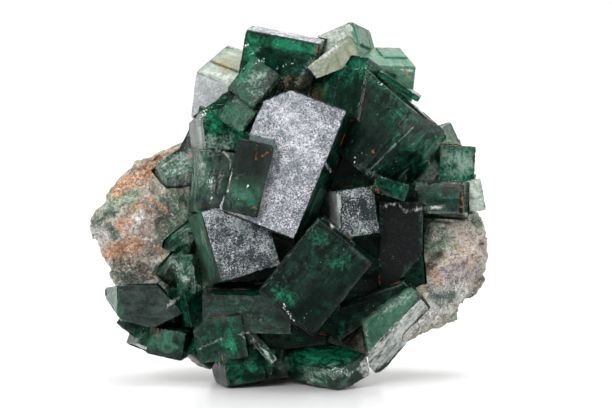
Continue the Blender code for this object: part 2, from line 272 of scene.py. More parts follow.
# the deep green crystals; every pair of colours runs from the darker to the paler one
greenGlass = {
    "refraction": 1.434,
    "shine": 0.14,                    # specular level, low so that dark faces stay dark
    "clear": (0.02, 0.34, 0.19),      # what a clean surface lets through
    "absorb": (0.10, 0.85, 0.69),     # what is left of light inside
    "density": 420.0,                 # per metre
    # the body seen under the surface, from its dark heart to its pale veils
    "body": ((0.28, (0.0008, 0.0050, 0.0035)), (0.42, (0.0028, 0.024, 0.015)),
             (0.54, (0.006, 0.066, 0.037)), (0.66, (0.016, 0.165, 0.092)), (0.84, (0.17, 0.42, 0.30))),
    "glow": ((0.002, 0.075, 0.036), (0.022, 0.290, 0.150)),
    "veil": ((0.045, 0.110, 0.082), (0.330, 0.430, 0.375)),
    "film": ((0.022, 0.075, 0.050), (0.070, 0.190, 0.125)),
    "olive": ((0.010, 0.022, 0.009), (0.110, 0.046, 0.018)),
    "chalk": ((0.20, 0.24, 0.22), (0.74, 0.75, 0.73)),
    # paler green along the convex edges: wear with a painted highlight
    "worn": (0.060, 0.190, 0.130),
    "haze": ((0.022, 0.032, 0.028), (0.095, 0.132, 0.116)),
    "silver": (0.80, 0.80, 0.86),
    "silverDim": (0.33, 0.36, 0.40),
    "silverThin": (0.24, 0.31, 0.30),
    "silverDark": (0.016, 0.030, 0.026),
    "silverSpeck": (0.120, 0.130, 0.150),
    "shade": (0.0012, 0.0062, 0.0040),
    "soot": (0.0035, 0.0048, 0.0050),
    "blackShadeGrain": (0.030, 0.033, 0.036),
    "rust": (0.30, 0.085, 0.022),
    "glint": (0.84, 0.97, 0.90),
    "polish": 0.04,                   # roughness of a clean face
}

# and the pale ones
paleGlass = {
    "refraction": 1.434,
    "shine": 0.35,
    "clear": (0.70, 0.84, 0.76),
    "absorb": (0.56, 0.84, 0.73),
    "density": 120.0,
    "body": ((0.30, (0.045, 0.120, 0.080)), (0.44, (0.17, 0.26, 0.20)), (0.55, (0.38, 0.46, 0.38)),
             (0.66, (0.58, 0.63, 0.55)), (0.84, (0.80, 0.80, 0.76))),
    "glow": ((0.015, 0.230, 0.130), (0.120, 0.520, 0.340)),
    "veil": ((0.52, 0.60, 0.53), (0.78, 0.80, 0.76)),
    "film": ((0.045, 0.170, 0.105), (0.150, 0.320, 0.215)),
    "olive": ((0.130, 0.160, 0.060), (0.400, 0.330, 0.170)),
    "chalk": ((0.62, 0.64, 0.60), (0.86, 0.86, 0.84)),
    "worn": (0.66, 0.74, 0.68),
    "haze": ((0.24, 0.29, 0.19), (0.50, 0.54, 0.40)),
    "silver": (0.84, 0.84, 0.88),
    "silverDim": (0.60, 0.63, 0.66),
    "silverThin": (0.50, 0.56, 0.54),
    "silverDark": (0.20, 0.25, 0.25),
    "silverSpeck": (0.42, 0.46, 0.47),
    "shade": (0.15, 0.18, 0.09),
    "soot": (0.16, 0.17, 0.08),
    "blackShadeGrain": (0.40, 0.42, 0.30),
    "rust": (0.48, 0.22, 0.07),
    "glint": (0.9, 0.97, 0.93),
    "polish": 0.10,
}


# how a flat face is finished: etched silver with a painted sheen, veiled, solid inside, smoky with a
# painted sheen, or black with painted shade
finishes = ("frost", "cloud", "core", "haze", "soot")


def crystalMaterial(name, look):
    material, tree, shader = newMaterial(name)
    place = inMillimetres(tree)
    grain = addNode(tree, "UVMap", uv_map="grain").outputs["UV"]
    blend = partial(blendColours, tree)
    mottled = partial(mottle, tree, place)
    frost, cloud, core, haze, soot = (mark(tree, finish) for finish in finishes)
    seam, rim, inner = mark(tree, "seam"), mark(tree, "rim"), mark(tree, "inner")

    def drawnOut(along, across, *roughness):
        # noise drawn out along one side of the face, on its own map
        scaled = addNode(tree, "Mapping", {"Vector": grain, "Scale": (along, across, 1.0)}).outputs[0]
        return mottle(tree, scaled, 1.0, *roughness)

    def ragged(kind, texture, spread=2.6, low=0.25, high=0.85):
        # a soft stroke, broken up by noise inside and along its borders
        amount = mark(tree, kind)
        uneven = (texture - 0.5) * spread * between(amount, 0.0, 0.2)
        return between(amount + uneven, low, high)

    fine = mottled(0.30, 2.0, 0.75)
    drift = mottled(5.0, 4.0, 0.6)
    branch = mottled(1.7, 5.0, 0.62, 2.2)
    wisps = mottled(3.4, 6.0, 0.62, 1.3)
    flecks = mottled(0.55, 3.0, 0.7)
    streaks = drawnOut(0.16, 0.75, 5.0, 0.65, 0.8)

    # etched faces: silver with grey specks, and black ones where the frost is thin; the silver and its
    # specks are the frost's pale grain with a painted sheen and glitter of light
    specks = mottled(0.44, 3.0, 0.85) * 0.6 + mottled(0.22, 1.0) * 0.4
    thinness = between(frost, 0.97, 0.60)
    slow = (drift - 0.5) * (thinness * 0.50 + 0.20)
    lumps = specks + slow - thinness * 0.085 - mark(tree, "shade") * 0.10
    grains = between(lumps, thinness * 0.035 + 0.42, 0.525 - thinness * 0.045)
    twigs = between(branch, 0.47, 0.36) * thinness
    grains = grains * (1.0 - twigs)
    frostSheen = blend(between(wisps, 0.60, 0.38), look["silver"], look["silverDim"])
    greener = thinness * between(drift, 0.42, 0.62, 0.0, 0.45)
    frostSheen = blend(greener, frostSheen, look["silverThin"])
    under = blend(thinness, look["silverSpeck"], look["silverDark"])
    under = blend(between(specks, 0.40, 0.33), under, look["silverDark"])
    silver = blend(grains, under, frostSheen)
    frosted = between(frost, 0.30, 0.55)

    # the body: veils and streaks, dark inside and clear along the edges
    tone = wisps * 0.52 + (streaks * 0.20 + flecks * 0.28)
    tone = (tone - 0.5) * 1.5 + 0.42 + cloud * 0.22
    body = colourRamp(tree, tone, look["body"])
    edge = inner + (wisps - 0.5) * 0.55
    bodyShare = core * between(edge, 0.02, 0.36, 0.60, 1.0)
    lift = between(streaks * 0.35 + flecks * 0.25 + wisps * 0.4, 0.38, 0.64)
    blotch = wisps * 0.55 + flecks * 0.45
    scratches = streaks * 0.6 + flecks * 0.4
    glow = ragged("glow", blotch, 2.2, 0.15, 1.0)
    film = ragged("film", wisps, 1.4, 0.10, 0.80)
    olive = ragged("olive", blotch, 3.4, 0.25, 0.95)
    # chalk: whitish rims and striations, and painted light on a facet that stands in shadow
    chalk = ragged("chalk", scratches, 3.4, 0.30, 0.95)
    veil = ragged("veil", blotch) * between(flecks, 0.35, 0.6, 0.4, 1.0)
    shade = ragged("shade", wisps, 1.2, 0.0, 0.9) * 0.85
    # a grey film on dark faces, with a painted sheen of reflected light
    sheenHazeAmount = haze * between(streaks, 0.3, 0.6, 0.7, 1.0)
    # black grain, with painted shade where the wall lies recessed
    blackShadeColour = blend(between(fine, 0.55, 0.70), look["soot"], look["blackShadeGrain"])

    # iron stain along the contacts, in stretches, and where it is laid on
    stained = between(seam + fine * 0.45, 0.98, 1.14) * between(mottled(6.5, 2.0), 0.52, 0.60)
    stained = highest(stained, ragged("rust", flecks, 4.0, 0.50, 1.1))

    # painted glints: bright sparks of light on tiny facets and fractures, a few everywhere and more where
    # they are laid on
    glintSpots = mottled(0.50, 2.0, 0.6, 0.6) + mark(tree, "sparkle") * 0.25 + (drift - 0.5) * 0.12
    glints = between(glintSpots, 0.735, 0.785) * between(frosted, 0.4, 0.1)

    # paler edges: wear, with a painted highlight along them
    worn = rim * between(fine, 0.42, 0.62, 0.0, 0.8) * between(wisps, 0.42, 0.58, 0.1, 1.0)
    worn = worn * between(shade, 0.05, 0.4, 1.0, 0.0)

    # what lies over the body, the last one on top: how much, its colour, and how solid it is at most
    tints = {kind: blend(lift, *look[kind]) for kind in ("haze", "glow", "film", "olive", "veil", "chalk")}
    layers = [(sheenHazeAmount, tints["haze"], 0.95), (glow, tints["glow"], 0.80), (film, tints["film"], 0.90),
              (olive, tints["olive"], 0.90), (veil, tints["veil"], 0.85), (shade, look["shade"], 0.90),
              (soot, blackShadeColour, 0.97), (frosted, silver, 0.97), (chalk, tints["chalk"], 0.97),
              (worn, look["worn"], 1.0), (glints, look["glint"], 0.90), (stained, look["rust"], 1.0)]
    colour = blend(between(bodyShare, 0.03, 0.35), look["clear"], body)
    solid = bodyShare
    for amount, target, most in layers:
        colour = blend(amount, colour, target)
        solid = highest(solid, amount * most)
    plug(colour, shader.inputs["Base Color"])
    plug(calculate(tree, "SUBTRACT", 1.0, solid, clamp=True), shader.inputs["Transmission Weight"])

    smudge = mottled(2.4, 4.0, 0.65)
    matte = highest(frosted, highest(soot, sheenHazeAmount))
    rough = between(smudge, 0.45, 0.8, look["polish"], look["polish"] + 0.14) + matte * 0.40 + stained * 0.5
    plug(rough, shader.inputs["Roughness"])
    plug(look["refraction"], shader.inputs["IOR"])
    plug(look["shine"], shader.inputs["Specular IOR Level"])

    # growth lines along the cube's edges, low square hillocks, and the etched grain
    lines = drawnOut(0.22, 2.6, 3.0) + drawnOut(2.1, 0.18, 3.0)
    hillocks = addNode(tree, "TexVoronoi", {"Vector": grain, "Scale": 0.22, "Randomness": 0.9},
                       distance="CHEBYCHEV").outputs["Distance"]
    smooth = lines + nodeValue(hillocks) * 0.8 + branch * 0.8
    gentle = addNode(tree, "Bump", {"Strength": 0.35, "Distance": 0.00014, "Height": smooth})
    coarse = addNode(tree, "Bump", {"Strength": 0.8, "Distance": 0.0004, "Height": specks * matte,
                                    "Normal": gentle.outputs[0]})
    plug(coarse.outputs[0], shader.inputs["Normal"])

    absorb = addNode(tree, "VolumeAbsorption", {"Color": (*look["absorb"], 1), "Density": look["density"]})
    plug(absorb.outputs[0], tree.nodes["Material Output"].inputs["Volume"])
    return material


# strokes are soft marks laid on from the front, each a line or an area with its corners
strokeKinds = ("glow", "film", "olive", "veil", "chalk", "shade", "rust", "sparkle")


def strokeTable(strokes, cell=2.0):
    # sorts the strokes by the cells of the front view, so many mm wide, that they reach
    table = {}
    for kind, rows in strokes.items():
        for *corners, reach, amount in rows:
            corners = [Vector(corner) for corner in corners]
            left, right = min(corner.x for corner in corners), max(corner.x for corner in corners)
            low, high = min(corner.y for corner in corners), max(corner.y for corner in corners)
            for column in range(int((left - reach) // cell), int((right + reach) // cell) + 1):
                for row in range(int((low - reach) // cell), int((high + reach) // cell) + 1):
                    table.setdefault((column, row), []).append((kind, corners, reach, amount))
    return table, cell


def outside(flat, corners):
    # how far a place lies from a line, or from an area with three corners or more
    nearest = 1e9
    within = False
    for index, end in enumerate(corners):
        start = corners[index - 1]
        run = end - start
        share = 0.0
        if run.length_squared > 0:
            share = min(1.0, max(0.0, (flat - start).dot(run) / run.length_squared))
        nearest = min(nearest, (flat - start - run * share).length)
        if (start.y > flat.y) != (end.y > flat.y):
            if flat.x < start.x + run.x * (flat.y - start.y) / run.y:
                within = not within
    return 0.0 if within else nearest


def strokesAt(table, place):
    # how strongly each kind of stroke covers a place of the front view
    cells, cell = table
    found = {}
    flat = place.to_2d()
    for kind, corners, reach, amount in cells.get((int(flat.x // cell), int(flat.y // cell)), ()):
        near = (1.0 - outside(flat, corners) / reach) * amount
        if near > found.get(kind, 0.0):
            found[kind] = near
    return found


# every crystal is the frame's solid with a finer skin, and each flat face has its own finish
skin = {
    "inner": 5.0,       # how far in from its edges a face counts as its middle, mm
    "weld": 0.002,      # corners closer than this are one, mm
    "least": 0.005,     # anything shorter than this is dissolved, mm
    "fold": 0.3,        # a gentler fold is neither an edge nor a contact, radians
    "sharp": 22,        # a steeper one is drawn sharp, degrees
    "seeds": 17.31,     # sets the noise of one face apart from the next
    "riser": 0.2,       # what share of a growth step is its slope
    "levels": 2.2,      # how many steps the noise spans either way
    "rounds": 9,        # how often long edges are cut in half
    "passes": 5,        # how often flat faces are looked for
    "start": 200,       # faces are looked for from this far out, mm
    "grazing": 0.1,     # faces turned further away than this cosine take no strokes
    "gain": 4,          # how fast the others take them in full
    # how fast the growth steps, the sway and the pits change, per mm
    "along": 0.10, "across": 0.12, "sway": 0.18, "pits": 1.5,
}


def mergedCopy(node):
    bm = bmesh.new()
    bm.from_mesh(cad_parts[node].data)
    bmesh.ops.remove_doubles(bm, verts=bm.verts[:], dist=skin["weld"] * mm)
    bmesh.ops.recalc_face_normals(bm, faces=bm.faces[:])
    return bm


def numberPlanes(bm, flat=1.2):
    # gives every flat face of the solid a number, its normal and the run of its longest side
    layer = bm.faces.layers.int.new("plane")
    straight = math.cos(math.radians(flat))
    planes = [None]
    for seed in bm.faces:
        if seed[layer]:
            continue
        number = len(planes)
        normal = seed.normal.copy()
        seed[layer] = number
        front = [seed]
        area = 0.0
        rimEdges = []
        while front:
            face = front.pop()
            area += face.calc_area()
            for edge in face.edges:
                for other in edge.link_faces:
                    if other is face:
                        continue
                    if other.normal.dot(normal) < straight:
                        rimEdges.append(edge)
                    elif not other[layer]:
                        other[layer] = number
                        front.append(other)
        run = Vector((0, 0, 1)).cross(normal)
        if rimEdges:
            longest = max(rimEdges, key=lambda edge: edge.calc_length())
            run = longest.verts[1].co - longest.verts[0].co
        run = (run - normal * run.dot(normal)).normalized()
        planes.append({"normal": normal, "run": run, "up": normal.cross(run), "area": area / mm ** 2,
                       "seed": number * skin["seeds"], **dict.fromkeys(finishes, 0.0)})
    return layer, planes


def finishFaces(bm, layer, planes, marks, usual):
    # the usual finish varies a little from face to face, then the listed faces get their own
    dice = random.Random(usual["seed"])
    for plane in planes[1:]:
        plane["cloud"] = dice.uniform(*usual["cloud"])
        plane["core"] = dice.uniform(*usual["core"])
        plane["frost"] = usual["frost"] if dice.random() < usual["frostShare"] else 0.0
    bm.faces.ensure_lookup_table()
    tree = BVHTree.FromBMesh(bm)
    for right, up, finish in marks:
        hit = tree.ray_cast(spot(right, up, skin["start"]), away())
        if hit[2] is not None:
            planes[bm.faces[hit[2]][layer]].update(finish)


def triangulate(bm):
    bmesh.ops.triangulate(bm, faces=[face for face in bm.faces if len(face.verts) > 3])


def dissolveSlivers(bm):
    # takes out the flat and doubled faces that cutting long thin ones leaves, until the skin is closed
    for turn in range(skin["passes"]):
        bmesh.ops.dissolve_degenerate(bm, dist=skin["least"] * mm, edges=bm.edges[:])
        triangulate(bm)
        gaps = sum(1 for edge in bm.edges if len(edge.link_faces) != 2)
        if not gaps:
            break
    if gaps:
        print("not closed:", gaps, "edges")


def refine(bm, layer, planes, lengths, buried, table):
    # cuts long edges in half until none is longer than its face's limit
    def limit(edge, middle):
        shortest = min(lengths["frosted"] if planes[face[layer]]["frost"] > 0.5 else lengths["plain"]
                       for face in edge.link_faces)
        if shortest > lengths["marked"] and middle.z > lengths["front"] and strokesAt(table, middle):
            return lengths["marked"]
        return shortest

    for turn in range(skin["rounds"]):
        long = []
        for edge in bm.edges:
            size = edge.calc_length() / mm
            if size > lengths["buried"]:
                long.append(edge)
            elif size > lengths["frosted"]:
                middle = (edge.verts[0].co + edge.verts[1].co) / 2
                if size > limit(edge, frontPlace(middle)) and not buried(middle):
                    long.append(edge)
        if not long:
            break
        bmesh.ops.subdivide_edges(bm, edges=long, cuts=1)
        triangulate(bm)
        inner = [edge for edge in bm.edges if len(edge.link_faces) == 2
                 and edge.link_faces[0][layer] == edge.link_faces[1][layer]]
        bmesh.ops.beautify_fill(bm, faces=bm.faces[:], edges=inner)
    dissolveSlivers(bm)


def steps(value, height):
    # a smooth value turned into level treads with short risers
    level = math.floor(value)
    rise = min(1.0, max(0.0, (value - level - (1 - skin["riser"])) / skin["riser"]))
    return (level + rise) * height


def skinHeight(plane, place, relief):
    # how far a point of a flat face stands in or out, in mm
    along = place.dot(plane["run"])
    across = place.dot(plane["up"])
    seed = plane["seed"]
    treads = (steps(noise.noise((along * skin["along"], seed, 0)) * skin["levels"] + 0.5, relief["tread"])
              + steps(noise.noise((seed, across * skin["across"], 5)) * skin["levels"] + 0.5,
                      relief["tread"]))
    sway = noise.noise(place * skin["sway"] + Vector((seed, 0, 0))) * relief["sway"]
    pits = plane["frost"] * noise.noise(place * skin["pits"]) * relief["pits"]
    return treads + sway + pits - relief["sink"]


def carve(bm, layer, planes, relief):
    rim = bm.verts.layers.float["rim"]
    bm.normal_update()
    moves = []
    for vert in bm.verts:
        place = vert.co / mm
        shift = Vector((0, 0, 0))
        for number in {face[layer] for face in vert.link_faces}:
            plane = planes[number]
            if plane["area"] > relief["leastArea"]:
                shift += plane["normal"] * skinHeight(plane, place, relief)
        if vert[rim]:
            bite = max(0.0, noise.noise(place * relief["chipRate"]) - relief["chipShare"])
            shift -= vert.normal * bite * relief["chipDepth"]
        moves.append(shift * mm)
    for vert, shift in zip(bm.verts, moves):
        vert.co += shift


def storeMarks(bm, layer, planes, table):
    # the finishes as attributes, and a map in mm that follows each face's own sides
    stores = {name: bm.faces.layers.float.new(name) for name in finishes}
    seam = bm.verts.layers.float.new("seam")
    rim = bm.verts.layers.float.new("rim")
    inner = bm.verts.layers.float.new("inner")
    grain = bm.loops.layers.uv.new("grain")
    for face in bm.faces:
        plane = planes[face[layer]]
        for name, store in stores.items():
            face[store] = plane[name]
        face.smooth = plane["frost"] < 0.5
        for loop in face.loops:
            place = loop.vert.co / mm
            loop[grain].uv = (place.dot(plane["run"]) + plane["seed"], place.dot(plane["up"]))
    for edge in bm.edges:
        if len(edge.link_faces) != 2 or edge.link_faces[0][layer] == edge.link_faces[1][layer]:
            continue
        store = rim if edge.is_convex else seam
        if edge.calc_face_angle() > skin["fold"]:
            for vert in edge.verts:
                vert[store] = 1.0
    edges = [vert for vert in bm.verts if vert[rim] or vert[seam]]
    finder = KDTree(len(edges))
    for index, vert in enumerate(edges):
        finder.insert(vert.co, index)
    finder.balance()
    laid = {kind: bm.verts.layers.float.new(kind) for kind in strokeKinds}
    for vert in bm.verts:
        vert[inner] = min(1.0, finder.find(vert.co)[2] / mm / skin["inner"])
        facing = -vert.normal.dot(away())
        if facing > skin["grazing"]:
            for kind, amount in strokesAt(table, frontPlace(vert.co)).items():
                vert[laid[kind]] = amount * min(1.0, facing * skin["gain"])


def makePiece(bm, name, material, sharp):
    bmesh.ops.recalc_face_normals(bm, faces=bm.faces[:])
    mesh = bpy.data.meshes.new(name)
    bm.to_mesh(mesh)
    bm.free()
    mesh.set_sharp_from_angle(angle=math.radians(sharp))
    mesh.materials.append(material)
    thing = bpy.data.objects.new(name, mesh)
    bpy.context.scene.collection.objects.link(thing)
    print(name, len(mesh.polygons), "triangles")
    return thing


def buildCrystal(node, piece, material, look, buried, table):
    bm = mergedCopy(node)
    layer, planes = numberPlanes(bm)
    finishFaces(bm, layer, planes, look["marks"], look["usual"])
    refine(bm, layer, planes, look["lengths"], buried, table)
    storeMarks(bm, layer, planes, table)
    carve(bm, layer, planes, look["relief"])
    thing = makePiece(bm, piece, material, skin["sharp"])
    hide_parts(node)
    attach(thing, "root")


greenCrystals = {
    # longest edges on each kind of face, mm; strokes count from "front" outwards
    "lengths": {"frosted": 0.65, "marked": 0.76, "plain": 1.7, "buried": 4.0, "front": 2.0},
    "relief": {"tread": 0.07, "sway": 0.10, "pits": 0.16, "sink": 0.12, "leastArea": 4.0,
               "chipRate": 0.8, "chipShare": 0.12, "chipDepth": 0.9},
    "usual": {"seed": 7, "cloud": (-0.2, 0.35), "core": (0.70, 0.97), "frost": 0.6, "frostShare": 0.0},
    "marks": [
        # right, up, and the finish of the face that is seen there
        (2.6, 54.2, {"frost": 1.0}),                   # the great silver face
        (12.9, 54.0, {"core": 0.97, "cloud": -0.3, "haze": 0.2}),    # and its dark side
        (-9.8, 32.9, {"frost": 0.70}),                 # the darker silver face under it
        (-18.8, 33.9, {"haze": 0.9, "core": 0.97}),
        (14.5, 39.6, {"frost": 0.64}),                 # the branching silver one
        (10.4, 40.5, {"frost": 1.0}),
        (-1.4, 80.4, {"frost": 1.0}),                  # the white film on the top block
        # the black wall: black grain, with its shade painted in black
        (25.5, 33.0, {"soot": 1.0}),                   # the black wall
        (-32.0, 19.0, {"haze": 0.9, "soot": 0.3, "core": 0.97}),
        (-40.0, 20.0, {"cloud": 0.6, "core": 0.8}),
        (-17.0, 47.5, {"haze": 0.75, "core": 0.97}),
        (-21.0, 47.5, {"haze": 0.6, "core": 0.9}),
        (-8.9, 47.0, {"core": 0.97, "cloud": -0.5, "haze": 0.3}),
        (-9.0, 19.5, {"haze": 0.3, "core": 0.95, "cloud": -0.2}),
        (6.4, 26.4, {"core": 0.97, "cloud": -0.35, "haze": 0.1}),
        (-2.2, 70.0, {"core": 0.93, "cloud": 0.1}),
        (9.0, 63.0, {"core": 0.97, "cloud": -0.25}),
        (20.0, 58.0, {"core": 0.97, "cloud": -0.25}),
        (27.5, 53.0, {"core": 0.97, "cloud": -0.2}),
        (-7.0, 69.0, {"haze": 0.4, "core": 0.95, "cloud": 0.35}),
        (-9.5, 62.0, {"haze": 0.2, "core": 0.9, "cloud": 0.45}),
        (-13.5, 58.0, {"core": 0.85, "cloud": 0.5}),
        (16.5, 21.0, {"core": 0.97, "cloud": -0.3}),
        (23.0, 16.0, {"core": 0.9, "cloud": 0.6}),
        (9.5, 9.6, {"core": 0.9, "cloud": 0.3}),
        (12.5, 4.5, {"core": 0.9, "cloud": 0.2, "haze": 0.4}),
        (-13.5, 12.5, {"core": 0.95, "cloud": 0.1}),
        (37.5, 51.0, {"core": 0.9, "cloud": 1.2}),
        (34.0, 43.2, {"core": 0.95, "cloud": 0.0}),
        (24.8, 68.5, {"cloud": 0.9, "core": 0.9}),
        (-27.5, 47.0, {"cloud": 1.3, "core": 0.9}),
        (-25.0, 37.0, {"cloud": 1.1, "core": 0.9}),
    ],
}

